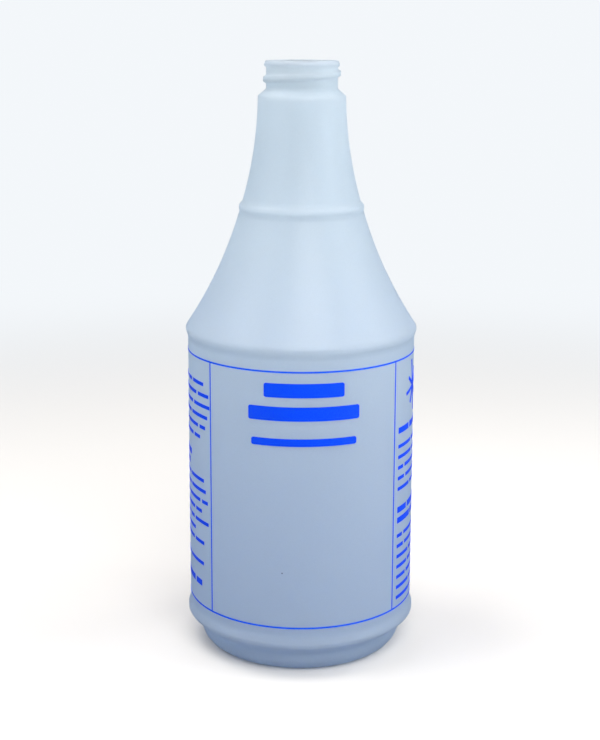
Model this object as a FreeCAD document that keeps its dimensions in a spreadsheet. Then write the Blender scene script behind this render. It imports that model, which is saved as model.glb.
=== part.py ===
"""Blow-moulded 24 oz trigger-spray bottle with a 28-400 screw finish and a one-colour print.

Millimetres, +Z up, origin on the standing plane under the axis, printed front facing -Y.
Every height above the print hangs from the rim, and every height below it stands on the base.
"""
import FreeCAD, Part
import math
import os
import re

import Sketcher
from FreeCAD import Placement, Rotation, Vector

AXIS = Vector(0, 0, 1)
FRONT = -90.0  # polar angle of the printed front, in degrees

SIZES = (
    # overall
    ("height", 215.8, "standing plane to rim"),
    ("wall", 1.0, "blown wall, measured level"),
    ("base_thickness", 1.3, "floor of the bottle"),
    # screw finish, down from the rim and out from the cylinder that carries the thread
    ("root_radius", 12.65, "cylinder that carries the thread"),
    ("finish_wall", 1.9, "wall between that cylinder and the straight bore"),
    ("rim_step", 0.2, "sealing rim, out from the cylinder"),
    ("bead_step", 0.75, "moulded bead just under the rim, out from the cylinder"),
    ("bead_depth", 1.35, "rim to the bead's crest"),
    ("bead_fall", 0.65, "bead's crest to its lower edge"),
    ("root_length", 7.65, "bead's lower edge to the foot of the cylinder"),
    ("collar_step", 2.95, "neck just under the collar cone, out from the cylinder"),
    ("collar_fall", 2.45, "height of the collar cone"),
    ("collar_round", 0.6, "rounding at both ends of the collar cone"),
    # thread
    ("thread_rise", 1.1, "thread crest, out from the cylinder"),
    ("thread_pitch", 4.23, "rise in a turn, six to the inch"),
    ("thread_turns", 0.9, "turns at full height"),
    ("thread_fade", 0.1, "part of a turn over which each end sinks into the wall"),
    ("thread_root_width", 2.9, "ridge where it meets the cylinder"),
    ("thread_crest_width", 1.0, "flat of the ridge"),
    ("thread_lift", 3.0, "foot of the cylinder to the ridge's centre where it starts"),
    ("thread_start", 236.0, "where the thread starts, in degrees from the front"),
    ("thread_sink", 0.4, "how far the ridge reaches into the wall"),
    # neck, ring and shoulder
    ("neck_curve", 140.0, "radius of the hollow sweep of the neck"),
    ("neck_length", 37.1, "foot of the collar cone to the foot of the neck"),
    ("neck_base_radius", 21.25, "neck where it meets the ring"),
    ("ring_step", 1.25, "grip ring, out from the foot of the neck"),
    ("ring_slope", 1.45, "foot of the neck to the ring's upper edge"),
    ("ring_width", 1.45, "grip ring"),
    ("ring_round", 0.45, "rounding of the ring's upper edge"),
    ("flare_step", 1.05, "top of the shoulder's sweep, out from the foot of the neck"),
    ("flare_gap", 0.5, "ring to the top of the shoulder's sweep"),
    ("shoulder_curve", 153.0, "radius of the hollow sweep of the shoulder"),
    ("shoulder_length", 42.3, "top of the shoulder's sweep to the shoulder corner"),
    ("shoulder_step", 0.9, "shoulder corner before it is rounded, out from the panel"),
    ("shoulder_fall", 2.1, "shoulder corner to the foot of its bead"),
    ("shoulder_round", 1.5, "rounding of the shoulder corner"),
    ("ledge_step", 0.3, "foot of the shoulder bead, out from the panel"),
    ("ledge_fall", 0.5, "foot of the shoulder bead to the top of the panel"),
    # printed panel
    ("panel_radius", 41.45, "top of the printed panel"),
    ("panel_taper", 0.4, "foot of the panel, out from its top"),
    # foot and heel, up from the standing plane and out from the foot of the panel
    ("push_up", 4.5, "height of the domed base at the axis"),
    ("stand_width", 2.2, "flat standing ring"),
    ("foot_inset", 4.05, "foot below the heel, in from the panel"),
    ("foot_round", 6.0, "rounding up from the standing ring"),
    ("foot_straight", 1.8, "that rounding to the hollow under the heel"),
    ("foot_neck_round", 1.2, "hollow corner under the heel"),
    ("heel_flare", 4.2, "height of the slope that runs out to the heel bead"),
    ("heel_step", 0.85, "heel bead, out from the panel"),
    ("heel_width", 1.5, "heel bead"),
    ("heel_slope", 1.7, "heel bead to the foot of the panel"),
    ("heel_round", 1.2, "rounding of the heel bead"),
    # print
    ("ink", 0.1, "thickness of the printed film"),
    ("line_width", 0.52, "upright border line"),
    ("ring_line_width", 0.6, "border line round the bottle"),
    ("border_drop", 5.15, "top of the panel to the centre of the upper border line"),
    ("border_lift", 4.2, "foot of the panel to the centre of the lower border line"),
    ("front_width", 75.4, "front panel between its border lines, round the bottle"),
    ("title_height", 5.0, "heavy bar"),
    ("title_drop", 6.5, "upper border to the centre of the first heavy bar"),
    ("title_pitch", 8.3, "between the heavy bars"),
    ("title_first_width", 28.4, "first heavy bar"),
    ("title_second_width", 40.0, "second heavy bar"),
    ("subtitle_height", 2.7, "light bar"),
    ("subtitle_width", 37.8, "light bar"),
    ("subtitle_drop", 10.2, "second heavy bar to the centre of the light bar"),
    ("bar_round", 0.8, "corners of the three bars"),
    ("column_width", 62.0, "side column of small print"),
    ("column_margin", 2.8, "border line to the side column"),
    ("row_pitch", 4.0, "between rows of small print"),
    ("row_height", 1.3, "small print"),
    ("heading_height", 2.2, "heading in small print"),
    ("letter_width", 1.0, "letter of small print"),
    ("word_gap", 1.6, "between words"),
    ("base_margin", 2.6, "lower border to the lowest row"),
    ("left_drop", 9.1, "upper border to the left column's first row"),
    ("right_drop", 26.1, "upper border to the right column's first row"),
    ("spark_length", 20.0, "longest stroke of the crossed-stroke motif"),
    ("spark_width", 1.2, "stroke of the motif"),
    ("spark_margin", 17.5, "border line to the motif's centre"),
    ("spark_drop", 12.2, "upper border to the motif's centre"),
)

# Radii and heights that follow from the sizes.
PLACES = (
    ("bore_radius", "root_radius - finish_wall"),
    ("rim_radius", "root_radius + rim_step"),
    ("bead_radius", "root_radius + bead_step"),
    ("thread_radius", "root_radius + thread_rise"),
    ("collar_radius", "root_radius + collar_step"),
    ("ring_radius", "neck_base_radius + ring_step"),
    ("flare_radius", "neck_base_radius + flare_step"),
    ("shoulder_radius", "panel_radius + shoulder_step"),
    ("ledge_radius", "panel_radius + ledge_step"),
    ("panel_base_radius", "panel_radius + panel_taper"),
    ("heel_radius", "panel_base_radius + heel_step"),
    ("foot_radius", "panel_base_radius - foot_inset"),
    ("stand_radius", "foot_radius - foot_round"),
    ("dome_reach", "stand_radius - stand_width"),
    ("bead_crest", "height - bead_depth"),
    ("bead_foot", "bead_crest - bead_fall"),
    ("root_foot", "bead_foot - root_length"),
    ("thread_base", "root_foot + thread_lift"),
    ("collar_foot", "root_foot - collar_fall"),
    ("neck_foot", "collar_foot - neck_length"),
    ("ring_top", "neck_foot - ring_slope"),
    ("ring_foot", "ring_top - ring_width"),
    ("flare_top", "ring_foot - flare_gap"),
    ("shoulder", "flare_top - shoulder_length"),
    ("ledge", "shoulder - shoulder_fall"),
    ("panel_top", "ledge - ledge_fall"),
    ("border_top", "panel_top - border_drop"),
    ("foot_top", "foot_round + foot_straight"),
    ("heel_base", "foot_top + heel_flare"),
    ("heel_top", "heel_base + heel_width"),
    ("panel_base", "heel_top + heel_slope"),
    ("border_base", "panel_base + border_lift"),
    ("panel_middle_radius", "(panel_radius + panel_base_radius) / 2"),
    ("panel_lean", "(panel_radius - panel_base_radius) / (panel_top - panel_base)"),
)

# Rows of the side columns from the top: how many letters a row stops short at its ragged end, and
# its kind. The left column is ragged towards the front panel, the right column away from it.
LEFT_ROWS = (
    (4.6, "text"), (1.3, "text"), (0.6, "text"), (2.1, "text"), (3.6, "text"), (7.5, "text"),
    (0.0, "gap"), (17.0, "heading"), (20.0, "heading"),
    (4.8, "text"), (3.5, "text"), (2.2, "text"), (6.6, "text"), (1.8, "text"), (12.7, "text"),
    (5.0, "text"), (0.0, "gap"), (5.4, "text"), (0.0, "gap"), (7.0, "heading"),
)
RIGHT_ROWS = (
    (28.0, "heading"), (0.0, "half gap"),
    (0.0, "text"), (3.0, "text"), (0.5, "text"), (6.0, "text"), (24.0, "text"),
    (0.0, "gap"), (14.0, "heading"), (30.0, "heading"), (0.0, "half gap"),
    (1.0, "text"), (4.0, "text"), (0.0, "text"), (2.5, "text"), (7.0, "text"), (1.5, "text"),
    (18.0, "text"),
)
ROW_STEPS = {"text": 1.0, "heading": 1.0, "gap": 1.0, "half gap": 0.5}  # in row pitches
ROW_HEIGHTS = {"text": "row_height", "heading": "heading_height"}
WORD_LETTERS = (9.0, 5.0, 13.0, 7.5, 10.5, 4.0, 12.0)  # letters in each word in turn
FEWEST_LETTERS = 2.5  # in the shortest word
SPARK_STROKES = ((12.0, 1.0), (57.0, 0.7), (102.0, 0.85), (147.0, 0.7))  # lean, share of length

THREAD_STATIONS = 24  # sections of the ridge in each turn
FADE_STATIONS = 4  # sections in each fading end
CLOSE = 1e-4  # how near an edge lies to the place it is looked for, in millimetres

doc = FreeCAD.newDocument("spray_bottle")
sheet = doc.addObject("Spreadsheet::Sheet", "Sizes")
for row, (alias, value, note) in enumerate(SIZES, start=1):
    sheet.set("A%d" % row, alias)
    sheet.set("B%d" % row, str(value))
    sheet.set("C%d" % row, note)
    sheet.setAlias("B%d" % row, alias)
for row, (alias, formula) in enumerate(PLACES, start=len(SIZES) + 1):
    sheet.set("A%d" % row, alias)
    sheet.set("B%d" % row, "=" + formula)
    sheet.setAlias("B%d" % row, alias)
doc.recompute()


def size(formula):
    """Work a formula of sheet aliases out to a number."""
    return float(sheet.evalExpression(formula))


def bound(formula):
    """Write a formula of sheet aliases as an expression that follows the sheet."""
    return re.sub(r"\b(?!pi\b)([a-z]\w+)\b", r"Sizes.\1", formula)


# ---------------------------------------------------------------- sketching

def add_sketch(body, name):
    """Attach a sketch to the body's upright plane through the axis."""
    sketch = body.newObject("Sketcher::SketchObject", name)
    planes = [item for item in body.Origin.OriginFeatures if item.Role == "XZ_Plane"]
    sketch.AttachmentSupport = [(planes[0], "")]
    sketch.MapMode = "FlatFace"
    return sketch


def arc_between(start, end, bend):
    """Arc of radius |bend|, left of the way from start to end where bend is negative."""
    middle = (start + end) * 0.5
    chord = end - start
    side = Vector(-chord.y, chord.x, 0).normalize() * math.copysign(1, -bend)
    reach = math.sqrt(max(bend * bend - (chord.Length / 2) ** 2, 0))
    centre = middle + side * reach
    first = math.atan2(start.y - centre.y, start.x - centre.x)
    last = math.atan2(end.y - centre.y, end.x - centre.x)
    circle = Part.Circle(centre, AXIS, abs(bend))
    if bend < 0:
        return Part.ArcOfCircle(circle, first, last), (1, 2)
    return Part.ArcOfCircle(circle, last, first), (2, 1)


def draw_outline(sketch, corners):
    """Draw a closed outline through corners of (radius, height, bend).

    Each radius and height is a formula. Bend is the formula for the radius of the arc to the next
    corner, with "-" in front where the arc turns left, or None for a straight run.
    """
    points = [Vector(size(radius), size(height), 0) for radius, height, bend in corners]
    edges = []
    for index, (radius, height, bend) in enumerate(corners):
        start = points[index]
        end = points[(index + 1) % len(points)]
        if bend is None:
            edges.append((sketch.addGeometry(Part.LineSegment(start, end)), (1, 2)))
            continue
        sign = -1 if bend.startswith("-") else 1
        arc, ends = arc_between(start, end, sign * size(bend.lstrip("-")))
        edge = sketch.addGeometry(arc)
        edges.append((edge, ends))
        held = sketch.addConstraint(Sketcher.Constraint("Radius", edge, size(bend.lstrip("-"))))
        sketch.setExpression("Constraints[%d]" % held, bound(bend.lstrip("-")))
    for index, (radius, height, bend) in enumerate(corners):
        edge, ends = edges[index]
        before, before_ends = edges[index - 1]
        joint = (edge, ends[0])
        sketch.addConstraint(Sketcher.Constraint("Coincident", before, before_ends[1], *joint))
        place_on(sketch, joint, "DistanceX", radius, -2)
        place_on(sketch, joint, "DistanceY", height, -1)


def place_on(sketch, joint, kind, formula, axis):
    """Hold a point at a distance from the origin, or on the axis where that distance is 0."""
    if formula == "0":
        sketch.addConstraint(Sketcher.Constraint("PointOnObject", *joint, axis))
        return
    held = sketch.addConstraint(Sketcher.Constraint(kind, -1, 1, *joint, size(formula)))
    sketch.setExpression("Constraints[%d]" % held, bound(formula))


def circles_at(feature, places):
    """Name the feature's circular edges about the axis at each (radius, height) formula."""
    names = []
    for radius, height in places:
        for number, edge in enumerate(feature.Shape.Edges, start=1):
            if edge.Degenerated or edge.Curve.TypeId != "Part::GeomCircle":
                continue
            on_axis = math.hypot(edge.Curve.Center.x, edge.Curve.Center.y) < CLOSE
            same_radius = abs(edge.Curve.Radius - size(radius)) < CLOSE
            same_height = abs(edge.Curve.Center.z - size(height)) < CLOSE
            if on_axis and same_radius and same_height:
                names.append("Edge%d" % number)
    if len(names) != len(places):
        raise RuntimeError("edges to round were not all found: %r" % (names,))
    return names


def round_edges(body, name, base, places, radius):
    """Round the circular edges at the given places."""
    doc.recompute()
    rounding = body.newObject("PartDesign::Fillet", name)
    rounding.Base = (base, circles_at(base, places))
    rounding.Radius = size(radius)
    rounding.setExpression("Radius", bound(radius))
    return rounding


# ---------------------------------------------------------------- bottle

def dome_radius(reach, rise):
    """Formula for the radius of a dome that rises over a circle and is level at its top."""
    return "((%s)^2 + (%s)^2) / (2 * (%s))" % (reach, rise, rise)


OUTER = (
    ("0", "push_up", dome_radius("dome_reach", "push_up")),
    ("dome_reach", "0", None),
    ("stand_radius", "0", "-foot_round"),
    ("foot_radius", "foot_round", None),
    ("foot_radius", "foot_top", None),
    ("heel_radius", "heel_base", None),
    ("heel_radius", "heel_top", None),
    ("panel_base_radius", "panel_base", None),
    ("panel_radius", "panel_top", None),
    ("ledge_radius", "ledge", None),
    ("shoulder_radius", "shoulder", "shoulder_curve"),
    ("flare_radius", "flare_top", None),
    ("ring_radius", "ring_foot", None),
    ("ring_radius", "ring_top", None),
    ("neck_base_radius", "neck_foot", "neck_curve"),
    ("collar_radius", "collar_foot", None),
    ("root_radius", "root_foot", None),
    ("root_radius", "bead_foot", None),
    ("bead_radius", "bead_crest", None),
    ("rim_radius", "height", None),
    ("0", "height", None),
)

# The cavity runs a wall's width inside the outer outline, past the small beads and the ring.
INNER = (
    ("0", "push_up + base_thickness", dome_radius("dome_reach", "push_up")),
    ("dome_reach", "base_thickness", None),
    ("stand_radius", "base_thickness", "-(foot_round - wall)"),
    ("foot_radius - wall", "foot_round + base_thickness - wall", None),
    ("foot_radius - wall", "foot_top + wall / 2", None),
    ("heel_radius - wall", "heel_base + wall / 2", None),
    ("panel_base_radius - wall", "panel_base", None),
    ("panel_radius - wall", "panel_top", None),
    ("shoulder_radius - wall", "shoulder - wall / 2", "shoulder_curve"),
    ("flare_radius - wall", "flare_top", None),
    ("neck_base_radius - wall", "neck_foot", "neck_curve"),
    ("collar_radius - wall", "collar_foot - wall", None),
    ("bore_radius", "root_foot - wall", None),
    ("bore_radius", "height", None),
    ("0", "height", None),
)


def add_turned_body(name, corners):
    """Body turned from an outline about the bottle's axis."""
    body = doc.addObject("PartDesign::Body", name)
    sketch = add_sketch(body, name + "_outline")
    draw_outline(sketch, corners)
    form = body.newObject("PartDesign::Revolution", name + "_turned")
    form.Profile = sketch
    form.ReferenceAxis = (sketch, ["V_Axis"])
    form.Angle = 360
    return body, form


def make_outer():
    """Outside of the bottle as one filled form, with its corners rounded."""
    body, form = add_turned_body("outer_form", OUTER)
    form = round_edges(body, "collar_rounding", form, (
        ("root_radius", "root_foot"),
        ("collar_radius", "collar_foot"),
    ), "collar_round")
    form = round_edges(body, "ring_rounding", form, (
        ("ring_radius", "ring_top"),
    ), "ring_round")
    form = round_edges(body, "shoulder_rounding", form, (
        ("shoulder_radius", "shoulder"),
    ), "shoulder_round")
    form = round_edges(body, "heel_rounding", form, (
        ("heel_radius", "heel_base"),
        ("heel_radius", "heel_top"),
        ("panel_base_radius", "panel_base"),
    ), "heel_round")
    round_edges(body, "foot_rounding", form, (
        ("foot_radius", "foot_top"),
    ), "foot_neck_round")
    return body


def thread_section(turn, share):
    """Section of the thread a number of turns on from its start, standing at a share of its height."""
    rise = size("thread_rise")
    sink = size("thread_sink")
    lost = (1 - share) * (rise + sink / 2)
    crest_radius = size("thread_radius") - lost
    inner_radius = size("root_radius") - sink - lost
    crest = size("thread_crest_width") / 2
    root = size("thread_root_width") / 2
    foot = root + (root - crest) * sink / rise
    centre = size("thread_base") + turn * size("thread_pitch")
    spin = Rotation(AXIS, FRONT + size("thread_start") + 360 * turn)
    corners = [
        Vector(inner_radius, 0, centre - foot),
        Vector(crest_radius, 0, centre - crest),
        Vector(crest_radius, 0, centre + crest),
        Vector(inner_radius, 0, centre + foot),
    ]
    turned = [spin.multVec(corner) for corner in corners]
    return Part.makePolygon(turned + turned[:1])


def make_thread():
    """Right-handed thread, lofted through its sections, with both ends sinking into the wall."""
    turns = size("thread_turns")
    fade = size("thread_fade")
    count = max(2, round(turns * THREAD_STATIONS))
    shares = [step / FADE_STATIONS for step in range(FADE_STATIONS)]
    stations = [(-fade * (1 - share), share) for share in shares]
    stations += [(turns * step / count, 1.0) for step in range(count + 1)]
    stations += [(turns + fade * (1 - share), share) for share in reversed(shares)]
    thread = doc.addObject("Part::Feature", "thread_ridge")
    thread.Shape = Part.makeLoft([thread_section(*station) for station in stations], True, False)
    return thread


def make_bottle():
    """One blown wall from the base to the rim, with its thread."""
    filled = doc.addObject("Part::MultiFuse", "filled_form")
    filled.Shapes = [make_outer(), make_thread()]
    cavity, turned = add_turned_body("cavity_form", INNER)
    bottle = doc.addObject("Part::Cut", "bottle")
    bottle.Base = filled
    bottle.Tool = cavity
    bottle.Label = "bottle"
    return bottle


# ---------------------------------------------------------------- print

def film_radius(height):
    """Formula for the panel's radius at a height formula."""
    return "panel_base_radius + (%s - panel_base) * panel_lean" % height


def film_cone(name, low, rise, lift):
    """Cone that follows the panel over a band, lifted off it by a formula."""
    cone = doc.addObject("Part::Cone", name)
    bands = (("Radius1", film_radius("(%s)" % low) + " + " + lift),
             ("Radius2", film_radius("(%s + %s)" % (low, rise)) + " + " + lift),
             ("Height", rise))
    for label, formula in bands:
        setattr(cone, label, size(formula))
        cone.setExpression(label, bound(formula))
    cone.Placement.Base.z = size(low)
    cone.setExpression(".Placement.Base.z", bound(low))
    return cone


def film_band(name, low, rise, sweep=None, turn=None):
    """Printed band on the panel: a full ring, or a sweep of it centred on a turn from the front."""
    outer = film_cone(name + "_outer", low, rise, "ink")
    inner = film_cone(name + "_inner", low, rise, "0")
    if sweep is not None:
        for cone in (outer, inner):
            cone.Angle = size(sweep)
            cone.setExpression("Angle", bound(sweep))
            start = "%s + %s - (%s) / 2" % (FRONT, turn, sweep)
            cone.Placement = Placement(cone.Placement.Base, Rotation(AXIS, size(start)))
            cone.setExpression(".Placement.Rotation.Angle", bound(start))
    band = doc.addObject("Part::Cut", name)
    band.Base = outer
    band.Tool = inner
    return band


def degrees(arc):
    """Formula for the angle of a length measured round the panel."""
    return "(%s) / panel_middle_radius * 180 / pi" % arc


def make_border():
    """Two border rings and the two upright lines that close the front panel."""
    between = "border_top - border_base"
    side = degrees("front_width / 2")
    pieces = [
        film_band("upper_line", "border_top - ring_line_width / 2", "ring_line_width"),
        film_band("lower_line", "border_base - ring_line_width / 2", "ring_line_width"),
        film_band("left_line", "border_base", between, degrees("line_width"), "-" + side),
        film_band("right_line", "border_base", between, degrees("line_width"), side),
    ]
    border = doc.addObject("Part::MultiFuse", "border_print")
    border.Shapes = pieces
    border.Label = "border_print"
    return border


def film_patch(near, far, low, high):
    """Patch of film between two lengths round the panel from the front and two heights."""
    corners = []
    for height, lift in ((low, 0), (low, size("ink")), (high, size("ink")), (high, 0)):
        radius = size(film_radius("(%r)" % height)) + lift
        corners.append(Vector(radius, 0, height))
    section = Part.Face(Part.makePolygon(corners + corners[:1]))
    first = math.degrees(near / size("panel_middle_radius"))
    sweep = math.degrees((far - near) / size("panel_middle_radius"))
    section.rotate(Vector(), AXIS, FRONT + first)
    return section.revolve(Vector(), AXIS, sweep)


def film_bar(width, centre, height, corner):
    """Patch centred on the front, with its four corners rounded."""
    bar = film_patch(-width / 2, width / 2, centre - height / 2, centre + height / 2)
    edges = [edge for edge in bar.Edges if edge.Length < 1.5 * size("ink")]
    return bar.makeFillet(min(corner, 0.45 * height), edges)


def add_print(name, marks):
    """Sub-part of several printed marks."""
    film = doc.addObject("Part::Feature", name)
    film.Label = name
    film.Shape = Part.makeCompound(marks)
    return film


def make_title():
    """Two heavy bars and a lighter one, in place of words."""
    top = size("border_top")
    bars = (
        ("title_first_width", "title_drop", "title_height"),
        ("title_second_width", "title_drop + title_pitch", "title_height"),
        ("subtitle_width", "title_drop + title_pitch + subtitle_drop", "subtitle_height"),
    )
    marks = [film_bar(size(width), top - size(drop), size(height), size("bar_round"))
             for width, drop, height in bars]
    return add_print("title_print", marks)


def split_words(near, far, first):
    """Ends of each word on a row, from near to far, starting at a place in the list of lengths."""
    gap = size("word_gap")
    letter = size("letter_width")
    shortest = FEWEST_LETTERS * letter
    words = []
    index = first
    while far - near > shortest:
        end = min(near + letter * WORD_LETTERS[index % len(WORD_LETTERS)], far)
        if far - end < gap + shortest:
            end = far
        words.append((near, end))
        near = end + gap
        index += 1
    return words


def column_marks(rows, drop, side):
    """Marks of a side column, its first row a drop below the upper border; side is -1 on the left."""
    inner = size("front_width / 2")
    outer = inner + size("column_margin + column_width")
    height = size("border_top") - drop
    lowest = size("border_base + base_margin")
    marks = []
    for index, (letters, kind) in enumerate(rows):
        rag = letters * size("letter_width")
        if kind in ROW_HEIGHTS and height > lowest:
            half = size(ROW_HEIGHTS[kind]) / 2
            ends = (inner + rag, outer) if side < 0 else (inner + size("column_margin"), outer - rag)
            for near, far in split_words(*ends, index * 3):
                low_arc, high_arc = sorted((side * near, side * far))
                marks.append(film_patch(low_arc, high_arc, height - half, height + half))
        height -= ROW_STEPS[kind] * size("row_pitch")
    return marks


def make_spark():
    """Motif of crossed strokes at the head of the right column."""
    centre = size("front_width / 2 + spark_margin")
    height = size("border_top - spark_drop")
    reach = size("spark_length")
    depth = size("spark_length")
    band = film_patch(centre - reach, centre + reach, height - reach, height + reach)
    turn = Rotation(AXIS, FRONT + math.degrees(centre / size("panel_middle_radius")))
    strokes = []
    for lean, share in SPARK_STROKES:
        length = reach * share
        stroke = Part.makeBox(depth, size("spark_width"), length)
        stroke.translate(Vector(0, -size("spark_width") / 2, -length / 2))
        stroke.rotate(Vector(), Vector(1, 0, 0), lean)
        stroke.translate(Vector(size("panel_middle_radius") - depth / 2, 0, 0))
        stroke.Placement = Placement(Vector(0, 0, height), turn).multiply(stroke.Placement)
        strokes.append(stroke.common(band))
    return strokes[0].multiFuse(strokes[1:]).removeSplitter()


def main():
    """Make every sub-part, check it and write it."""
    parts = [
        make_bottle(),
        make_border(),
        make_title(),
        add_print("left_column_print", column_marks(LEFT_ROWS, size("left_drop"), -1)),
        add_print("right_column_print",
                  column_marks(RIGHT_ROWS, size("right_drop"), 1) + [make_spark()]),
    ]
    doc.recompute()
    for item in doc.Objects:
        if "Invalid" in item.State or "Error" in item.State:
            raise RuntimeError("%s failed: %s" % (item.Label, item.State))
    for part in parts:
        if part.Shape.isNull() or not part.Shape.isValid() or not part.Shape.Solids:
            raise RuntimeError("%s has no valid solid" % part.Label)
    os.makedirs("parts", exist_ok=True)
    for part in parts:
        part.Shape.exportStep("parts/%s.step" % part.Label)
        print(part.Label, len(part.Shape.Solids), "solids", round(part.Shape.Volume, 1), "mm3")


main()
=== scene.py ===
"""Dresses the packed trigger-spray bottle: its blown wall, its one-colour print and a plain studio.

Metres, +Z up, printed front facing -Y, in the packed part's own frame.
"""
import collections
import math

import bmesh
import bpy
import numpy as np
from bpy.props import FloatProperty, FloatVectorProperty, IntProperty, PointerProperty
from mathutils import Euler, Matrix, Vector


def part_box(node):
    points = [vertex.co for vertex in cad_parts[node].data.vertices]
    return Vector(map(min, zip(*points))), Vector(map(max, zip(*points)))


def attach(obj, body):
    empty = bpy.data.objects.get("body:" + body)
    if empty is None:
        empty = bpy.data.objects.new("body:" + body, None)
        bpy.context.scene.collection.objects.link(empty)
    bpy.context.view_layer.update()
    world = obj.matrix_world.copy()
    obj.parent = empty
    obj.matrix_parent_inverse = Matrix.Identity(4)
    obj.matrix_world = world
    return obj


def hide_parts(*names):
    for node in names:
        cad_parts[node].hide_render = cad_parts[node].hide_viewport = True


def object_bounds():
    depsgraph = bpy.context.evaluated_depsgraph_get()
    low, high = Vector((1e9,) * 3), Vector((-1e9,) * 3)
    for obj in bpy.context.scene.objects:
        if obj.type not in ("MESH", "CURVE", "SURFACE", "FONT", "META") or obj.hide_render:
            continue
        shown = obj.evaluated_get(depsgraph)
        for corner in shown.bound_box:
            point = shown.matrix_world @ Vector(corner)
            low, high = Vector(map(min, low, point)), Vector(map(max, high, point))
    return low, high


bl_info = {
    "name": "Spray bottle dressing",
    "version": (1, 0, 0),
    "blender": (4, 5, 0),
    "location": "View3D > Sidebar > Bottle",
    "description": "Builds the blown wall, the print and the studio of a trigger-spray bottle",
    "category": "Object",
}

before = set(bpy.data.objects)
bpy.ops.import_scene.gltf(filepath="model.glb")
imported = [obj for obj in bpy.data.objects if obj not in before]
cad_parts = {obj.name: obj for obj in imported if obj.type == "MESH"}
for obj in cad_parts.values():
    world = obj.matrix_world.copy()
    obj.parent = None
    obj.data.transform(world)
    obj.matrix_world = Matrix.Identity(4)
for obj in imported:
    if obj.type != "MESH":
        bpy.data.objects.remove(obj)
cad_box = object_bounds()
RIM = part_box("bottle")[1].z
WIDEST = min(*cad_box[1].xy, *(-cad_box[0]).xy)
PRINT_NODES = ("border_print", "title_print", "left_column_print", "right_column_print")
MM = 0.001
BLURRED = "blurred_normal"  # attribute that holds the softened normals
RELIEF = 0.05 * MM  # bump of the plastic's and the ink's unevenness
SPECK_PLACE = (-7.6 * MM, -41.1 * MM, 40.1 * MM)  # low on the front
SPECK_CORE = 0.16 * MM
SPECK_EDGE = 0.34 * MM
RIM_SHADE_FADE = 1 * MM  # from the bead's lower edge up to the rim's painted shade
COLLAR_FADE = 4 * MM  # from the screw finish down to the tone of the blown wall
NOISE_LOW, NOISE_HIGH = 0.3, 0.7  # most of a noise texture lies between them
SEAM_HALF_ANGLE = math.radians(1)  # half the strip of close columns at a parting line
WELDED = 0.002 * MM  # corners closer together than this become one
TOUCHING = 0.01 * MM  # places closer together than this count as one
FLOOR_RADIUS = 30  # metres, out to where the backdrop hides its edge
# Each soft box: degrees to the right of the front, degrees up, reach and side in metres.
LAMPS = {
    "key": (12, 42, 0.8, 0.5),
    "right": (95, 45, 0.7, 0.5),
    "left": (-95, 58, 0.7, 0.5),
    "right_fill": (60, 15, 0.8, 0.6),
    "left_fill": (-60, 15, 0.8, 0.6),
    "back": (180, 45, 1.0, 0.8),
}


# ---------------------------------------------------------------- settings

def length(name, millimetres, description):
    """Length setting, given in millimetres and kept in metres."""
    return FloatProperty(
        name=name, description=description, default=millimetres * MM, unit="LENGTH", precision=5)


def tint(name, colour, description):
    """Colour setting."""
    return FloatVectorProperty(
        name=name, description=description, default=colour, subtype="COLOR", size=3, min=0, max=1)


def share(name, value, description):
    """Setting from 0 to 1."""
    return FloatProperty(
        name=name, description=description, default=value, subtype="FACTOR", min=0, max=1)


def slant(name, degrees, description):
    """Angle setting, given in degrees and kept in radians."""
    return FloatProperty(
        name=name, description=description, default=math.radians(degrees), subtype="ANGLE")


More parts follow.
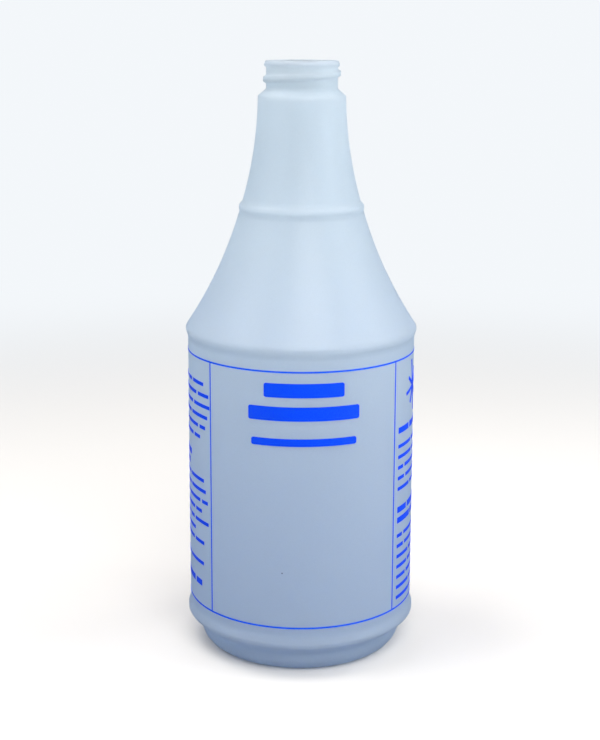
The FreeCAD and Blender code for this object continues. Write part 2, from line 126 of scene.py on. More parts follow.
class BottleSizes(bpy.types.PropertyGroup):
    """Sizes of the blown bottle, down from the rim or up from the standing plane."""

    wall: length("Wall", 1.0, "Blown wall, measured level")
    base_thickness: length("Base thickness", 1.3, "Floor of the bottle")
    root_radius: length("Thread root radius", 12.65, "Cylinder that carries the thread")
    finish_wall: length("Finish wall", 1.9, "Wall between the thread root and the bore")
    rim_step: length("Rim step", 0.2, "Sealing rim, out from the thread root")
    rim_round: length("Rim rounding", 0.18, "Rounding of the sealing rim's two edges")
    bead_step: length("Bead step", 0.75, "Bead under the rim, out from the thread root")
    bead_depth: length("Bead depth", 1.35, "Rim to the bead's crest")
    bead_fall: length("Bead fall", 0.65, "Bead's crest to its lower edge")
    bead_round: length("Bead rounding", 0.3, "Rounding of the bead's crest and foot")
    root_length: length("Thread root length", 7.65, "Bead to the foot of the thread root")
    collar_step: length("Collar step", 2.95, "Neck under the collar, out from the thread root")
    collar_fall: length("Collar fall", 2.45, "Height of the collar cone")
    collar_round: length("Collar rounding", 0.6, "Rounding at both ends of the collar")
    neck_curve: length("Neck curve", 140.0, "Radius of the neck's hollow sweep")
    neck_length: length("Neck length", 37.1, "Collar to the foot of the neck")
    neck_base_radius: length("Neck base radius", 21.25, "Neck where it meets the ring")
    ring_step: length("Ring step", 1.25, "Grip ring, out from the foot of the neck")
    ring_slope: length("Ring slope", 1.45, "Foot of the neck to the ring's upper edge")
    ring_width: length("Ring width", 1.45, "Grip ring")
    ring_round: length("Ring rounding", 0.55, "Rounding of the ring's edges")
    flare_step: length("Flare step", 1.05, "Top of the shoulder, out from the foot of the neck")
    flare_gap: length("Flare gap", 0.5, "Ring to the top of the shoulder")
    shoulder_curve: length("Shoulder curve", 153.0, "Radius of the shoulder's hollow sweep")
    shoulder_length: length("Shoulder length", 42.3, "Top of the shoulder to its corner")
    shoulder_step: length("Shoulder step", 0.9, "Shoulder corner, out from the panel")
    shoulder_fall: length("Shoulder fall", 2.1, "Shoulder corner to the foot of its bead")
    shoulder_round: length("Shoulder rounding", 1.5, "Rounding of the shoulder corner")
    ledge_step: length("Ledge step", 0.3, "Foot of the shoulder bead, out from the panel")
    ledge_fall: length("Ledge fall", 0.5, "Foot of the shoulder bead to the panel")
    ledge_round: length("Ledge rounding", 0.8, "Rounding of the shoulder bead's foot")
    panel_radius: length("Panel radius", 41.45, "Top of the printed panel")
    panel_taper: length("Panel taper", 0.4, "Foot of the panel, out from its top")
    push_up: length("Push-up", 4.5, "Height of the domed base at the axis")
    stand_width: length("Standing ring", 2.2, "Flat ring that the bottle stands on")
    stand_round: length("Standing ring rounding", 0.8, "Inner edge of the standing ring")
    foot_inset: length("Foot inset", 4.05, "Foot below the heel, in from the panel")
    foot_round: length("Foot rounding", 6.0, "Rounding up from the standing ring")
    foot_straight: length("Foot straight", 1.8, "Foot rounding to the hollow under the heel")
    foot_neck_round: length("Heel hollow rounding", 2.2, "Hollow corner under the heel")
    heel_flare: length("Heel flare", 4.2, "Height of the slope out to the heel bead")
    heel_step: length("Heel step", 0.85, "Heel bead, out from the panel")
    heel_width: length("Heel width", 1.5, "Heel bead")
    heel_slope: length("Heel slope", 1.7, "Heel bead to the foot of the panel")
    heel_round: length("Heel rounding", 1.0, "Rounding of the heel bead")
    seam_height: length("Parting line height", 0.05, "Faint ridge where the two mould halves met")
    seam_width: length("Parting line width", 0.5, "Full width of that ridge")
    weld_height: length("Base weld height", 0.35, "Pinched weld across the domed base")
    weld_width: length("Base weld width", 0.9, "Full width of that weld")
    weld_length: length("Base weld length", 42.0, "Full length of that weld")


class ThreadSizes(bpy.types.PropertyGroup):
    """Sizes of the screw thread."""

    rise: length("Thread rise", 1.1, "Crest, out from the thread root")
    pitch: length("Pitch", 4.23, "Rise in a turn, six to the inch")
    lift: length("Lift", 3.0, "Foot of the thread root to the ridge's centre at its start")
    root_width: length("Root width", 2.9, "Ridge where it meets the cylinder")
    crest_width: length("Crest width", 1.0, "Flat of the ridge")
    turns: FloatProperty(name="Turns", description="Turns at full height", default=0.9)
    fade: FloatProperty(name="Fade", description="Part of a turn in each sinking end", default=0.1)
    start: slant("Start", 236, "Where the thread starts, turned from the front")


class MeshSettings(bpy.types.PropertyGroup):
    """How finely the wall is divided."""

    columns: IntProperty(name="Columns", description="Divisions between parting lines", default=116)
    seam_columns: IntProperty(name="Seam columns", description="Across a parting line", default=8)
    thread_rows: length("Thread rows", 0.18, "Spacing of rows through the screw finish")
    wall_rows: length("Wall rows", 1.6, "Spacing of rows on the outside")
    inner_rows: length("Inner rows", 4.0, "Spacing of rows in the cavity")
    corner_rows: IntProperty(name="Corner rows", description="Divisions of a rounding", default=5)
    blur: length("Blur", 0.4, "Relief finer than this is lost to light inside the plastic")
    blur_steps: IntProperty(name="Blur steps", description="Passes of the blur", default=40)


class FinishSettings(bpy.types.PropertyGroup):
    """Colours and finish of the milky plastic, with its painted shade tones, and of the ink."""

    plastic: tint("Plastic", (0.79, 0.845, 0.875), "Milky polyethylene")
    # Painted shade: the plastic is bluer toward the base, where the lower body lies in shade.
    plastic_painted_shade: tint("Plastic, low", (0.74, 0.84, 0.97), "Its bluer tone toward the base")
    glow: tint("Glow", (0.86, 0.91, 0.948), "Light that comes through the blown wall")
    # Painted shade: the light let through is bluer toward the base as well.
    glow_painted_shade: tint("Glow, low", (0.87, 0.925, 1.0), "Its bluer tone toward the base")
    # Partly real, partly painted shade: darker for the thick screw finish, and darker still to dim the
    # light it catches.
    finish_glow_and_shade: tint("Glow, screw finish", (0.755, 0.81, 0.85), "Light through the thick screw finish")
    # Painted shade: darker at the rim and bead, to dim the light their upturned faces catch.
    rim_painted_shade: tint("Glow, rim", (0.68, 0.735, 0.80), "Light through the thicker bead and rim")
    # Offset of the painted bluer shade's fade, above the base and above the shoulder.
    tone_shift: length("Tone shift", 30, "How far above base and shoulder the bluer tone fades")
    see_through: share("Light let through", 0.73, "Share of the light that crosses a wall face")
    speck: tint("Speck", (0.24, 0.26, 0.32), "Dark speck moulded into the front")
    plastic_roughness: share("Plastic roughness", 0.38, "Satin of the plastic")
    scatter: length("Scatter", 2.5, "How far light spreads inside the plastic")
    ink: tint("Ink", (0.0, 0.065, 1.0), "Screen ink")
    ink_shade: tint("Ink, thin", (0.003, 0.085, 0.97), "Where the screen left less ink")
    line_ink: tint("Line ink", (0.0, 0.145, 1.0), "Lighter in fine lines, which hold less ink")
    ink_roughness: share("Ink roughness", 0.38, "Satin of the ink")


class StudioSettings(bpy.types.PropertyGroup):
    """Camera, lamps and floor."""

    floor: tint("Floor", (0.74, 0.71, 0.68), "Pale floor, a little warm under the cool lamps")
    floor_bounce: tint("Floor bounce", (0.088, 0.09, 0.105), "What the floor gives back to the object")
    backdrop: tint("Backdrop", (0.90, 0.93, 0.96), "Pale surroundings")
    ambient: tint("Ambient", (0.86, 0.92, 1.0), "Light from all round")
    ambient_strength: FloatProperty(name="Ambient strength", description="Of that light", default=0.02)
    key_power: FloatProperty(
        name="Key power", description="Soft box above the front", default=5.0, unit="POWER")
    right_power: FloatProperty(
        name="Right power", description="Soft box high on the right", default=2.8, unit="POWER")
    left_power: FloatProperty(
        name="Left power", description="Soft box high on the left", default=4.1, unit="POWER")
    right_fill_power: FloatProperty(
        name="Right fill power", description="Soft box low on the right", default=3.8, unit="POWER")
    left_fill_power: FloatProperty(
        name="Left fill power", description="Soft box low on the left", default=2.3, unit="POWER")
    back_power: FloatProperty(
        name="Back power", description="Soft box above the back", default=2.8, unit="POWER")
    fill: tint("Fill light", (0.80, 0.90, 1.0), "Colour of the two low lamps")
    plain: tint("Plain light", (1.0, 1.0, 1.0), "Colour of the other lamps")
    fade_start: length("Fade start", 120, "From the bottle to where the floor starts to fade")
    fade_end: length("Fade end", 750, "From the bottle to where the floor is all backdrop")
    lens: FloatProperty(name="Lens", description="Focal length in mm", default=68.98)
    camera_place: FloatVectorProperty(
        name="Camera place", description="A little above the rim, before the printed front",
        default=(-0.01415, -0.50913, 0.23043), subtype="TRANSLATION", precision=5)
    camera_turn: slant("Camera turn", -1.55, "To the left")
    camera_dip: slant("Camera dip", 13.96, "Below level")
    camera_roll: slant("Camera roll", 0.184, "About its own axis")


# ---------------------------------------------------------------- bottle

Corner = collections.namedtuple("Corner", "radius height bend rounding", defaults=(0.0, 0.0))


def outer_corners(s):
    """Outline of the outside, from the axis under the base to the rim."""
    reach = dome_reach(s)
    foot_radius = reach + s.stand_width + s.foot_round
    heel_radius = s.panel_radius + s.panel_taper + s.heel_step
    heel_base = s.foot_round + s.foot_straight + s.heel_flare
    heel_top = heel_base + s.heel_width
    bead_crest = RIM - s.bead_depth
    bead_foot = bead_crest - s.bead_fall
    root_foot = finish_foot_height(s)
    collar_foot = root_foot - s.collar_fall
    neck_foot = collar_foot - s.neck_length
    ring_top = neck_foot - s.ring_slope
    ring_foot = ring_top - s.ring_width
    flare_top = ring_foot - s.flare_gap
    shoulder = shoulder_height(s)
    ledge = shoulder - s.shoulder_fall
    return (
        Corner(0, s.push_up, dome_radius(reach, s.push_up)),
        Corner(reach, 0, rounding=s.stand_round),
        Corner(reach + s.stand_width, 0, -s.foot_round),
        Corner(foot_radius, s.foot_round),
        Corner(foot_radius, s.foot_round + s.foot_straight, rounding=s.foot_neck_round),
        Corner(heel_radius, heel_base, rounding=s.heel_round),
        Corner(heel_radius, heel_top, rounding=s.heel_round),
        Corner(s.panel_radius + s.panel_taper, heel_top + s.heel_slope, rounding=s.heel_round),
        Corner(s.panel_radius, ledge - s.ledge_fall),
        Corner(s.panel_radius + s.ledge_step, ledge, rounding=s.ledge_round),
        Corner(s.panel_radius + s.shoulder_step, shoulder, s.shoulder_curve, s.shoulder_round),
        Corner(s.neck_base_radius + s.flare_step, flare_top, rounding=s.ring_round),
        Corner(s.neck_base_radius + s.ring_step, ring_foot, rounding=s.ring_round),
        Corner(s.neck_base_radius + s.ring_step, ring_top, rounding=s.ring_round),
        Corner(s.neck_base_radius, neck_foot, s.neck_curve),
        Corner(s.root_radius + s.collar_step, collar_foot, rounding=s.collar_round),
        Corner(s.root_radius, root_foot, rounding=s.collar_round),
        Corner(s.root_radius, bead_foot, rounding=s.bead_round),
        Corner(s.root_radius + s.bead_step, bead_crest, rounding=s.bead_round),
        Corner(s.root_radius + s.rim_step, RIM, rounding=s.rim_round),
    )


def inner_corners(s):
    """Outline of the cavity, from the axis over the base to the rim's inner edge."""
    reach = dome_reach(s)
    foot_radius = reach + s.stand_width + s.foot_round
    heel_radius = s.panel_radius + s.panel_taper + s.heel_step
    heel_base = s.foot_round + s.foot_straight + s.heel_flare
    root_foot = finish_foot_height(s)
    neck_foot = root_foot - s.collar_fall - s.neck_length
    flare_top = neck_foot - s.ring_slope - s.ring_width - s.flare_gap
    shoulder = shoulder_height(s)
    bore_radius = s.root_radius - s.finish_wall
    wall = s.wall
    return (
        Corner(0, s.push_up + s.base_thickness, dome_radius(reach, s.push_up)),
        Corner(reach, s.base_thickness),
        Corner(reach + s.stand_width, s.base_thickness, wall - s.foot_round),
        Corner(foot_radius - wall, s.foot_round + s.base_thickness - wall),
        Corner(foot_radius - wall, s.foot_round + s.foot_straight + wall / 2),
        Corner(heel_radius - wall, heel_base + wall / 2),
        Corner(s.panel_radius + s.panel_taper - wall, heel_base + s.heel_width + s.heel_slope),
        Corner(s.panel_radius - wall, shoulder - s.shoulder_fall - s.ledge_fall),
        Corner(s.panel_radius + s.shoulder_step - wall, shoulder - wall / 2, s.shoulder_curve),
        Corner(s.neck_base_radius + s.flare_step - wall, flare_top),
        Corner(s.neck_base_radius - wall, neck_foot, s.neck_curve),
        Corner(s.root_radius + s.collar_step - wall, root_foot - s.collar_fall - wall),
        Corner(bore_radius, root_foot - wall),
        Corner(bore_radius, RIM, rounding=s.rim_round),
    )


def finish_foot_height(s):
    """Height of the foot of the thread root."""
    return RIM - s.bead_depth - s.bead_fall - s.root_length


def shoulder_height(s):
    """Height of the shoulder corner."""
    flare_top = finish_foot_height(s) - s.collar_fall - s.neck_length - s.ring_slope - s.ring_width
    return flare_top - s.flare_gap - s.shoulder_length


def dome_reach(s):
    """Radius of the domed base inside the standing ring."""
    return s.panel_radius + s.panel_taper - s.foot_inset - s.foot_round - s.stand_width


def dome_radius(reach, rise):
    """Radius of a dome that rises over a circle and is level at its top."""
    return (reach * reach + rise * rise) / (2 * rise)


def lay_outline(bm, corners, spacing):
    """Lay corners as a wire of extruded runs and spun arcs; return those to round, and its end."""
    vert = bm.verts.new((corners[0].radius, 0, corners[0].height))
    placed = [vert]
    for here, there in zip(corners, corners[1:]):
        target = Vector((there.radius, 0, there.height))
        if here.bend:
            vert = spin_arc(bm, vert, target, here.bend, spacing)
        else:
            vert = bmesh.ops.extrude_vert_indiv(bm, verts=[vert])["verts"][0]
        vert.co = target
        placed.append(vert)
    return [(vert, corner.rounding) for corner, vert in zip(corners, placed) if corner.rounding], vert


def spin_arc(bm, vert, target, bend, spacing):
    """Spin a vertex to a target on an arc, hollow where bend is positive and round where negative."""
    chord = target - vert.co
    turn = 2 * math.asin(chord.length / 2 / abs(bend))
    side = Vector((chord.z, 0, -chord.x)).normalized() * math.copysign(1, bend)
    centre = (vert.co + target) / 2 + side * abs(bend) * math.cos(turn / 2)
    steps = max(3, round(turn * abs(bend) / spacing))
    spun = bmesh.ops.spin(
        bm, geom=[vert], cent=centre, axis=(0, math.copysign(1, bend), 0), angle=turn,
        steps=steps, use_merge=False, use_duplicate=False)
    return spun["geom_last"][0]


def round_corner(bm, vert, radius, rows):
    """Round a corner of a wire to a radius."""
    ways = [edge.other_vert(vert).co - vert.co for edge in vert.link_edges]
    turn = math.pi - ways[0].angle(ways[1])
    bmesh.ops.bevel(
        bm, geom=[vert], offset=radius * math.tan(turn / 2), offset_type="OFFSET", segments=rows,
        profile=0.5, affect="VERTICES", material=-1)


def divide_runs(bm, finish_foot, grid, outside):
    """Divide long edges of the wire into rows, close together through the screw finish."""
    for edge in list(bm.edges):
        spacing = grid.inner_rows
        if all(vert[outside] for vert in edge.verts):
            in_finish = min(vert.co.z for vert in edge.verts) > finish_foot
            spacing = grid.thread_rows if in_finish else grid.wall_rows
        cuts = math.ceil(edge.calc_length() / spacing) - 1
        if cuts > 0:
            bmesh.ops.subdivide_edges(bm, edges=[edge], cuts=cuts)


def spin_wall(bm, grid):
    """Spin the wire right round in four sectors, with columns close together at the parting lines."""
    start = Matrix.Rotation(-SEAM_HALF_ANGLE, 3, "Z")
    bmesh.ops.rotate(bm, verts=bm.verts, cent=(0, 0, 0), matrix=start)
    profile = list(bm.verts) + list(bm.edges)
    for sector in range(4):
        at_seam = sector % 2 == 0
        profile = bmesh.ops.spin(
            bm, geom=profile, cent=(0, 0, 0), axis=(0, 0, 1),
            angle=2 * SEAM_HALF_ANGLE if at_seam else math.pi - 2 * SEAM_HALF_ANGLE,
            steps=grid.seam_columns if at_seam else grid.columns,
            use_merge=False, use_duplicate=False)["geom_last"]
    bmesh.ops.remove_doubles(bm, verts=bm.verts, dist=WELDED)
    bmesh.ops.recalc_face_normals(bm, faces=bm.faces)


def ease(value):
    """Smooth step from 0 to 1."""
    value = min(max(value, 0.0), 1.0)
    return value * value * (3 - 2 * value)


def thread_radius(angle, height, s, t):
    """Radius of the thread's surface at an angle and a height, or of its root beside it."""
    base = finish_foot_height(s) + t.lift
    from_start = (angle + math.pi / 2 - t.start) / (2 * math.pi)
    highest = 0.0
    for lap in range(-1, 2 + math.ceil(t.turns)):
        turn = from_start + lap
        if not -t.fade < turn < t.turns + t.fade:
            continue
        sunk = max(0.0, -turn, turn - t.turns) / t.fade
        off = abs(height - base - turn * t.pitch)
        flank = (t.root_width / 2 - off) / (t.root_width - t.crest_width) * 2
        highest = max(highest, t.rise * (ease(flank) - sunk))
    return s.root_radius + highest


def shape_wall(bm, s, t, outside):
    """Raise the thread, the parting lines and the weld under the base on the spun wall."""
    finish_foot = finish_foot_height(s)
    dome = dome_reach(s)
    for vert in bm.verts:
        radius = math.hypot(vert.co.x, vert.co.y)
        if not vert[outside] or radius < TOUCHING:
            continue
        angle = math.atan2(vert.co.y, vert.co.x)
        if finish_foot < vert.co.z < RIM - s.rim_round and radius >= s.root_radius - TOUCHING:
            target = max(radius, thread_radius(angle, vert.co.z, s, t))
        else:
            target = radius
        aside = abs(vert.co.y) / (s.seam_width / 2)
        if radius > dome + s.stand_width / 2:
            target = min(target + s.seam_height * (1 - ease(aside)), WIDEST)
        vert.co.x *= target / radius
        vert.co.y *= target / radius
        if radius < dome:
            across = 1 - ease(abs(vert.co.y) / (s.weld_width / 2))
            along = ease((s.weld_length / 2 - abs(vert.co.x)) / s.weld_width)
            vert.co.z -= s.weld_height * across * along


def make_object(name, bm):
    """Turn a bmesh into a smooth-shaded object at the origin."""
    for face in bm.faces:
        face.smooth = True
    mesh = bpy.data.meshes.new(name)
    bm.to_mesh(mesh)
    bm.free()
    piece = bpy.data.objects.new(name, mesh)
    bpy.context.scene.collection.objects.link(piece)
    return piece


def blur_normals(mesh, blur, steps):
    """Store the normals with their finer relief blurred away, as light inside the plastic sees it."""
    normals = np.empty(len(mesh.vertices) * 3)
    places = np.empty(len(mesh.vertices) * 3)
    ends = np.empty(len(mesh.edges) * 2, dtype=int)
    mesh.vertices.foreach_get("normal", normals)
    mesh.vertices.foreach_get("co", places)
    mesh.edges.foreach_get("vertices", ends)
    normals, places, ends = normals.reshape(-1, 3), places.reshape(-1, 3), ends.reshape(-1, 2)
    gaps = np.linalg.norm(places[ends[:, 0]] - places[ends[:, 1]], axis=1)
    pull = np.minimum(blur ** 2 / (2 * steps) / gaps ** 2, 1)
    total = 1 + sum(np.bincount(end, pull, len(normals)) for end in ends.T)
    for _ in range(steps):
        pulled = normals.copy()
        for here, there in (ends.T, ends.T[::-1]):
            for axis in range(3):
                pulled[:, axis] += np.bincount(here, pull * normals[there, axis], len(normals))
        normals = pulled / total[:, None]
        normals /= np.linalg.norm(normals, axis=1)[:, None]
    stored = mesh.attributes.new(BLURRED, "FLOAT_VECTOR", "POINT")
    stored.data.foreach_set("vector", normals.ravel())


class BOTTLE_OT_add_wall(bpy.types.Operator):
    """Model the one blown wall of the bottle, with its thread, and give it its plastic"""

    bl_idname = "bottle.add_wall"
    bl_label = "Add bottle wall"

    def execute(self, context):
        sizes = context.scene.bottle_sizes
        grid = context.scene.bottle_mesh
        bm = bmesh.new()
        outside = bm.verts.layers.int.new("outside")
        corners, outer_end = lay_outline(bm, outer_corners(sizes), grid.wall_rows)
        for vert in bm.verts:
            vert[outside] = 1
        inner, inner_end = lay_outline(bm, inner_corners(sizes), grid.inner_rows)
        bm.edges.new((outer_end, inner_end))
        for vert, rounding in corners + inner:
            round_corner(bm, vert, rounding, grid.corner_rows)
        divide_runs(bm, finish_foot_height(sizes), grid, outside)
        spin_wall(bm, grid)
        shape_wall(bm, sizes, context.scene.bottle_thread, outside)
        bottle = make_object("moulded_bottle", bm)
        blur_normals(bottle.data, grid.blur, grid.blur_steps)
        bottle.data.materials.append(plastic_material(context.scene.bottle_finish, sizes))
        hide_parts("bottle")
        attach(bottle, "root")
        return {"FINISHED"}


# ---------------------------------------------------------------- finishes

def add_node(tree, kind, values=(), **settings):
    """Add a node, set its properties and the values of its inputs."""
    node = tree.nodes.new(kind)
    for name, value in settings.items():
        setattr(node, name, value)
    for name, value in dict(values).items():
        node.inputs[name].default_value = value
    return node


def new_group(name, inputs, outputs):
    """Start a node group with float inputs and outputs, and return its tree and its two ends."""
    tree = bpy.data.node_groups.new(name, "ShaderNodeTree")
    for label, value in inputs.items():
        socket = tree.interface.new_socket(label, in_out="INPUT", socket_type="NodeSocketFloat")
        socket.default_value = value
    for label in outputs:
        tree.interface.new_socket(label, in_out="OUTPUT", socket_type="NodeSocketFloat")
    return tree, tree.nodes.new("NodeGroupInput"), tree.nodes.new("NodeGroupOutput")


def surface_group():
    """Unevenness of a moulded or printed surface: its height, a slow mask and a fine mask."""
    tree, start, end = new_group(
        "surface_unevenness",
        {"Grain per metre": 2500.0, "Wave per metre": 38.0, "Grain height": 0.15},
        ("Height", "Slow mask", "Fine mask"))
    place = add_node(tree, "ShaderNodeTexCoord")
    wave = add_node(tree, "ShaderNodeTexNoise", {"Detail": 1.5, "Roughness": 0.45})
    grain = add_node(tree, "ShaderNodeTexNoise", {"Detail": 2.0, "Roughness": 0.6})
    lifted = add_node(tree, "ShaderNodeMath", operation="MULTIPLY")
    total = add_node(tree, "ShaderNodeMath", operation="ADD")
    tree.links.new(place.outputs["Object"], wave.inputs["Vector"])
    tree.links.new(place.outputs["Object"], grain.inputs["Vector"])
    tree.links.new(start.outputs["Wave per metre"], wave.inputs["Scale"])
    tree.links.new(start.outputs["Grain per metre"], grain.inputs["Scale"])
    tree.links.new(grain.outputs["Fac"], lifted.inputs[0])
    tree.links.new(start.outputs["Grain height"], lifted.inputs[1])
    tree.links.new(wave.outputs["Fac"], total.inputs[0])
    tree.links.new(lifted.outputs[0], total.inputs[1])
    tree.links.new(total.outputs[0], end.inputs["Height"])
    tree.links.new(wave.outputs["Fac"], end.inputs["Slow mask"])
    tree.links.new(grain.outputs["Fac"], end.inputs["Fine mask"])
    return tree


def shared_surface():
    """The surface group, made on first use."""
    return bpy.data.node_groups.get("surface_unevenness") or surface_group()


def start_material(name, values, bump_height):
    """Material with a Principled BSDF whose normal follows the shared unevenness."""
    material = bpy.data.materials.new(name)
    material.use_nodes = True
    tree = material.node_tree
    shader = tree.nodes["Principled BSDF"]
    for label, value in values.items():
        shader.inputs[label].default_value = value
    uneven = add_node(tree, "ShaderNodeGroup", node_tree=shared_surface())
    bump = add_node(tree, "ShaderNodeBump", {"Strength": 1.0, "Distance": bump_height})
    tree.links.new(uneven.outputs["Height"], bump.inputs["Height"])
    tree.links.new(bump.outputs["Normal"], shader.inputs["Normal"])
    return material, shader, uneven


def blend_colours(tree, mask, first, second, low, high):
    """Colour that goes from first to second as a mask goes from low to high."""
    span = add_node(tree, "ShaderNodeMapRange", {"From Min": low, "From Max": high})
    mix = add_node(tree, "ShaderNodeMix", data_type="RGBA")
    mix.inputs[6].default_value = (*first, 1)
    mix.inputs[7].default_value = (*second, 1)
    tree.links.new(mask, span.inputs["Value"])
    tree.links.new(span.outputs["Result"], mix.inputs[0])
    return mix


def vary_roughness(tree, mask, shader, roughness, spread):
    """Let the roughness follow a mask, by a spread either side of its value."""
    span = add_node(tree, "ShaderNodeMapRange", {
        "From Min": NOISE_LOW, "From Max": NOISE_HIGH,
        "To Min": roughness - spread, "To Max": roughness + spread})
    tree.links.new(mask, span.inputs["Value"])
    tree.links.new(span.outputs["Result"], shader.inputs["Roughness"])


def speckled(tree, clean, reach, speck):
    """Colour that is the speck's within its reach and the clean colour elsewhere."""
    marked = blend_colours(tree, reach, speck, speck, SPECK_CORE, SPECK_EDGE)
    tree.links.new(clean, marked.inputs[7])
    return marked.outputs[2]


def dimmed(tree, colour, mask, least):
    """Colour dimmed a little, as far as a least share, where a mask is low."""
    span = add_node(tree, "ShaderNodeMapRange", {
        "From Min": NOISE_LOW, "From Max": NOISE_HIGH, "To Min": least, "To Max": 1.0})
    scaled = add_node(tree, "ShaderNodeVectorMath", operation="SCALE")
    tree.links.new(mask, span.inputs["Value"])
    tree.links.new(colour, scaled.inputs[0])
    tree.links.new(span.outputs["Result"], scaled.inputs["Scale"])
    return scaled.outputs[0]


def soften_normal(tree, bump):
    """Start a bump from the stored blurred normal, turned to the side of the face that is seen."""
    blurred = add_node(tree, "ShaderNodeAttribute", attribute_name=BLURRED)
    side = add_node(tree, "ShaderNodeNewGeometry")
    toward = add_node(tree, "ShaderNodeMapRange", {"To Min": 1.0, "To Max": -1.0})
    turned = add_node(tree, "ShaderNodeVectorMath", operation="SCALE")
    tree.links.new(side.outputs["Backfacing"], toward.inputs["Value"])
    tree.links.new(blurred.outputs["Vector"], turned.inputs[0])
    tree.links.new(toward.outputs["Result"], turned.inputs["Scale"])
    tree.links.new(turned.outputs[0], bump.inputs["Normal"])


def plastic_material(finish, sizes):
    """Milky satin polyethylene that passes light, with a moulded-in speck and painted shade: bluer low,
    darker at the rim.
    """
    finish_foot = finish_foot_height(sizes)
    bead_foot = RIM - sizes.bead_depth - sizes.bead_fall
    material, shader, uneven = start_material("milky_polyethylene", {
        "Subsurface Weight": 1.0,
        "Subsurface Radius": (1.0, 1.0, 1.0),
        "Subsurface Scale": finish.scatter,
        "IOR": 1.5,
        "Specular IOR Level": 1.0,
    }, RELIEF)
    tree = material.node_tree
    place = add_node(tree, "ShaderNodeTexCoord")
    parts = add_node(tree, "ShaderNodeSeparateXYZ")
    reach = add_node(tree, "ShaderNodeVectorMath", operation="DISTANCE")
    reach.inputs[1].default_value = SPECK_PLACE
    tree.links.new(place.outputs["Object"], parts.inputs[0])
    tree.links.new(place.outputs["Object"], reach.inputs[0])
    height, from_speck = parts.outputs["Z"], reach.outputs["Value"]
    slow, fine = uneven.outputs["Slow mask"], uneven.outputs["Fine mask"]

    # Painted shade: the plastic turns bluer toward the base, fading out above the shoulder.
    low = finish.tone_shift
    high = shoulder_height(sizes) + finish.tone_shift
    body = blend_colours(tree, height, finish.plastic_painted_shade, finish.plastic, low, high)
    clouded = dimmed(tree, body.outputs[2], slow, least=0.97)
    tree.links.new(
        speckled(tree, clouded, from_speck, finish.speck), shader.inputs["Base Color"])
    vary_roughness(tree, fine, shader, finish.plastic_roughness, spread=0.05)

    # Painted shade: the light let through turns bluer toward the base too.
    blown = blend_colours(tree, height, finish.glow_painted_shade, finish.glow, low, high)
    # Darker through the screw finish: partly its thickness, partly painted shade.
    thick = blend_colours(
        tree, height, finish.glow, finish.finish_glow_and_shade, finish_foot - COLLAR_FADE, finish_foot)
    tree.links.new(blown.outputs[2], thick.inputs[6])
    # Painted shade: darker at the bead and rim, to dim the light their upturned faces catch.
    rim_shaded = blend_colours(
        tree, height, finish.finish_glow_and_shade, finish.rim_painted_shade, bead_foot, bead_foot + RIM_SHADE_FADE)
    tree.links.new(thick.outputs[2], rim_shaded.inputs[6])
    grained = dimmed(tree, rim_shaded.outputs[2], fine, least=0.96)
    glow = add_node(tree, "ShaderNodeBsdfTranslucent")
    tree.links.new(speckled(tree, grained, from_speck, finish.speck), glow.inputs["Color"])

    bump = shader.inputs["Normal"].links[0].from_node
    soften_normal(tree, bump)
    tree.links.new(bump.outputs[0], glow.inputs["Normal"])
    milk = add_node(tree, "ShaderNodeMixShader", {"Fac": finish.see_through})
    tree.links.new(shader.outputs[0], milk.inputs[1])
    tree.links.new(glow.outputs[0], milk.inputs[2])
    tree.links.new(milk.outputs[0], tree.nodes["Material Output"].inputs["Surface"])
    return material


def ink_material(name, ink, finish):
    """Satin screen ink with slightly uneven cover."""
    material, shader, uneven = start_material(
        name, {"IOR": 1.5, "Specular IOR Level": 0.25}, RELIEF)
    tree = material.node_tree
    fine = uneven.outputs["Fine mask"]
    colour = blend_colours(tree, fine, ink, finish.ink_shade, low=0.35, high=0.65)
    tree.links.new(colour.outputs[2], shader.inputs["Base Color"])
    vary_roughness(tree, fine, shader, finish.ink_roughness, spread=0.06)
    return material


class BOTTLE_OT_ink_print(bpy.types.Operator):
    """Give the border, the title bars and the small print their ink"""

    bl_idname = "bottle.ink_print"
    bl_label = "Ink the print"

    def execute(self, context):
        finish = context.scene.bottle_finish
        solid_ink = ink_material("screen_ink", finish.ink, finish)
        line_ink = ink_material("line_ink", finish.line_ink, finish)
        for name in PRINT_NODES:
            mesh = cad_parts[name].data
            mesh.materials.clear()
            mesh.materials.append(line_ink if name == "border_print" else solid_ink)
        return {"FINISHED"}


# ---------------------------------------------------------------- studio

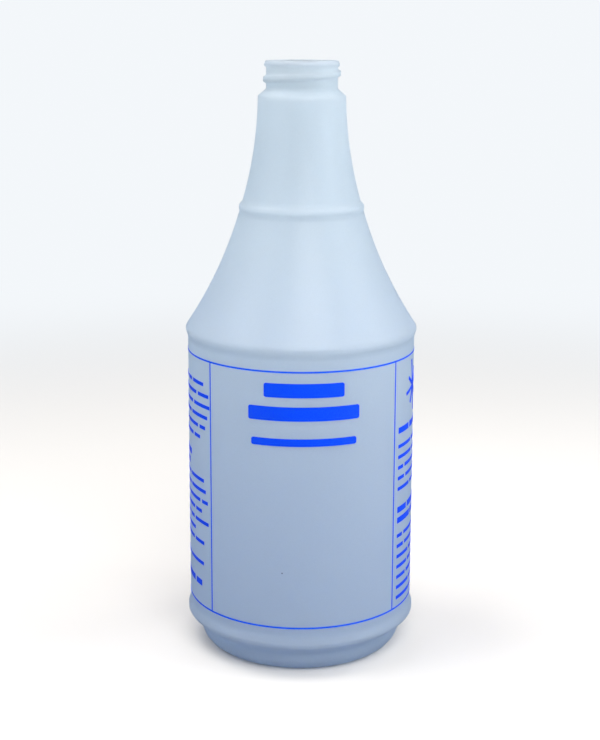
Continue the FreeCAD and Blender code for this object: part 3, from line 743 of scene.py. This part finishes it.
def floor_material(studio):
    """Pale floor that keeps the shadow, fades into the backdrop and is clear from below."""
    material = bpy.data.materials.new("studio_floor")
    material.use_nodes = True
    tree = material.node_tree
    tree.nodes.clear()
    out = add_node(tree, "ShaderNodeOutputMaterial")
    path = add_node(tree, "ShaderNodeLightPath")
    seen = add_node(tree, "ShaderNodeBsdfDiffuse", {"Color": (*studio.floor, 1)})
    felt = add_node(tree, "ShaderNodeBsdfDiffuse", {"Color": (*studio.floor_bounce, 1)})
    far = add_node(tree, "ShaderNodeEmission", {"Color": (*studio.backdrop, 1)})
    clear = add_node(tree, "ShaderNodeBsdfTransparent")
    place = add_node(tree, "ShaderNodeTexCoord")
    reach = add_node(tree, "ShaderNodeVectorMath", operation="LENGTH")
    fade = add_node(tree, "ShaderNodeMapRange", {
        "From Min": studio.fade_start, "From Max": studio.fade_end}, interpolation_type="SMOOTHERSTEP")
    back = add_node(tree, "ShaderNodeNewGeometry")
    by_path = add_node(tree, "ShaderNodeMixShader")
    by_reach = add_node(tree, "ShaderNodeMixShader")
    by_side = add_node(tree, "ShaderNodeMixShader")
    tree.links.new(place.outputs["Object"], reach.inputs[0])
    tree.links.new(reach.outputs["Value"], fade.inputs["Value"])
    tree.links.new(fade.outputs["Result"], by_reach.inputs[0])
    tree.links.new(seen.outputs[0], by_reach.inputs[1])
    tree.links.new(far.outputs[0], by_reach.inputs[2])
    tree.links.new(path.outputs["Is Camera Ray"], by_path.inputs[0])
    tree.links.new(felt.outputs[0], by_path.inputs[1])
    tree.links.new(by_reach.outputs[0], by_path.inputs[2])
    tree.links.new(back.outputs["Backfacing"], by_side.inputs[0])
    tree.links.new(by_path.outputs[0], by_side.inputs[1])
    tree.links.new(clear.outputs[0], by_side.inputs[2])
    tree.links.new(by_side.outputs[0], out.inputs["Surface"])
    return material


def add_floor(studio):
    """Round floor under the bottle."""
    bm = bmesh.new()
    bmesh.ops.create_circle(bm, cap_ends=True, segments=96, radius=FLOOR_RADIUS)
    floor = make_object("studio_floor", bm)
    floor.data.materials.append(floor_material(studio))


def add_world(studio):
    """Even light from all round, seen as the pale backdrop."""
    world = bpy.data.worlds.new("studio_world")
    world.use_nodes = True
    tree = world.node_tree
    tree.nodes.clear()
    out = add_node(tree, "ShaderNodeOutputWorld")
    path = add_node(tree, "ShaderNodeLightPath")
    light = add_node(tree, "ShaderNodeBackground", {
        "Color": (*studio.ambient, 1), "Strength": studio.ambient_strength})
    shown = add_node(tree, "ShaderNodeBackground", {"Color": (*studio.backdrop, 1), "Strength": 1.0})
    mix = add_node(tree, "ShaderNodeMixShader")
    tree.links.new(path.outputs["Is Camera Ray"], mix.inputs[0])
    tree.links.new(light.outputs[0], mix.inputs[1])
    tree.links.new(shown.outputs[0], mix.inputs[2])
    tree.links.new(mix.outputs[0], out.inputs["Surface"])
    bpy.context.scene.world = world


def add_soft_box(name, power, colour):
    """Square lamp that faces the bottle's middle, placed to the right of the front and upward."""
    round_degrees, up_degrees, reach, side = LAMPS[name]
    lamp = bpy.data.lights.new(name, "AREA")
    lamp.size = side
    lamp.energy = power
    lamp.color = colour
    box = bpy.data.objects.new(name, lamp)
    out = Vector((0, -reach, 0))
    out.rotate(Euler((-math.radians(up_degrees), 0, math.radians(round_degrees))))
    box.location = out + Vector((0, 0, RIM / 2))
    box.rotation_euler = (-out).to_track_quat("-Z", "Y").to_euler()
    box.visible_camera = False
    bpy.context.scene.collection.objects.link(box)


def add_camera(studio):
    """Camera a little above the rim, looking down at the printed front."""
    data = bpy.data.cameras.new("camera")
    data.lens = studio.lens
    camera = bpy.data.objects.new("camera", data)
    turn = Matrix.Rotation(studio.camera_turn, 4, "Z")
    pitch = Matrix.Rotation(math.pi / 2 - studio.camera_dip, 4, "X")
    roll = Matrix.Rotation(studio.camera_roll, 4, "Z")
    camera.rotation_euler = (turn @ pitch @ roll).to_euler()
    camera.location = studio.camera_place
    bpy.context.scene.collection.objects.link(camera)
    bpy.context.scene.camera = camera


class BOTTLE_OT_set_stage(bpy.types.Operator):
    """Set up the pale floor, the soft lamps and the camera"""

    bl_idname = "bottle.set_stage"
    bl_label = "Set stage"

    def execute(self, context):
        studio = context.scene.bottle_studio
        context.scene.view_settings.view_transform = "Standard"
        add_floor(studio)
        add_world(studio)
        for name in LAMPS:
            colour = studio.fill if name.endswith("fill") else studio.plain
            add_soft_box(name, getattr(studio, name + "_power"), colour)
        add_camera(studio)
        return {"FINISHED"}


# ---------------------------------------------------------------- add-on

OPERATORS = (BOTTLE_OT_add_wall, BOTTLE_OT_ink_print, BOTTLE_OT_set_stage)
SETTINGS = {
    "bottle_sizes": BottleSizes,
    "bottle_thread": ThreadSizes,
    "bottle_mesh": MeshSettings,
    "bottle_finish": FinishSettings,
    "bottle_studio": StudioSettings,
}


class BOTTLE_PT_panel(bpy.types.Panel):
    """Sidebar panel with the settings and the steps"""

    bl_idname = "BOTTLE_PT_panel"
    bl_label = "Spray bottle"
    bl_space_type = "VIEW_3D"
    bl_region_type = "UI"
    bl_category = "Bottle"

    def draw(self, context):
        for name, group in SETTINGS.items():
            box = self.layout.box()
            box.label(text=group.__doc__)
            for setting in group.__annotations__:
                box.prop(getattr(context.scene, name), setting)
        for operator in OPERATORS:
            self.layout.operator(operator.bl_idname)


def register():
    """Register the settings, the operators and the panel."""
    for item in (*SETTINGS.values(), *OPERATORS, BOTTLE_PT_panel):
        bpy.utils.register_class(item)
    for name, group in SETTINGS.items():
        setattr(bpy.types.Scene, name, PointerProperty(type=group))


def unregister():
    """Take them all away again."""
    for name in SETTINGS:
        delattr(bpy.types.Scene, name)
    for item in reversed((*SETTINGS.values(), *OPERATORS, BOTTLE_PT_panel)):
        bpy.utils.unregister_class(item)


def main():
    """Build everything in order."""
    register()
    bpy.ops.bottle.add_wall()
    bpy.ops.bottle.ink_print()
    bpy.ops.bottle.set_stage()


if __name__ == "__main__":
    main()
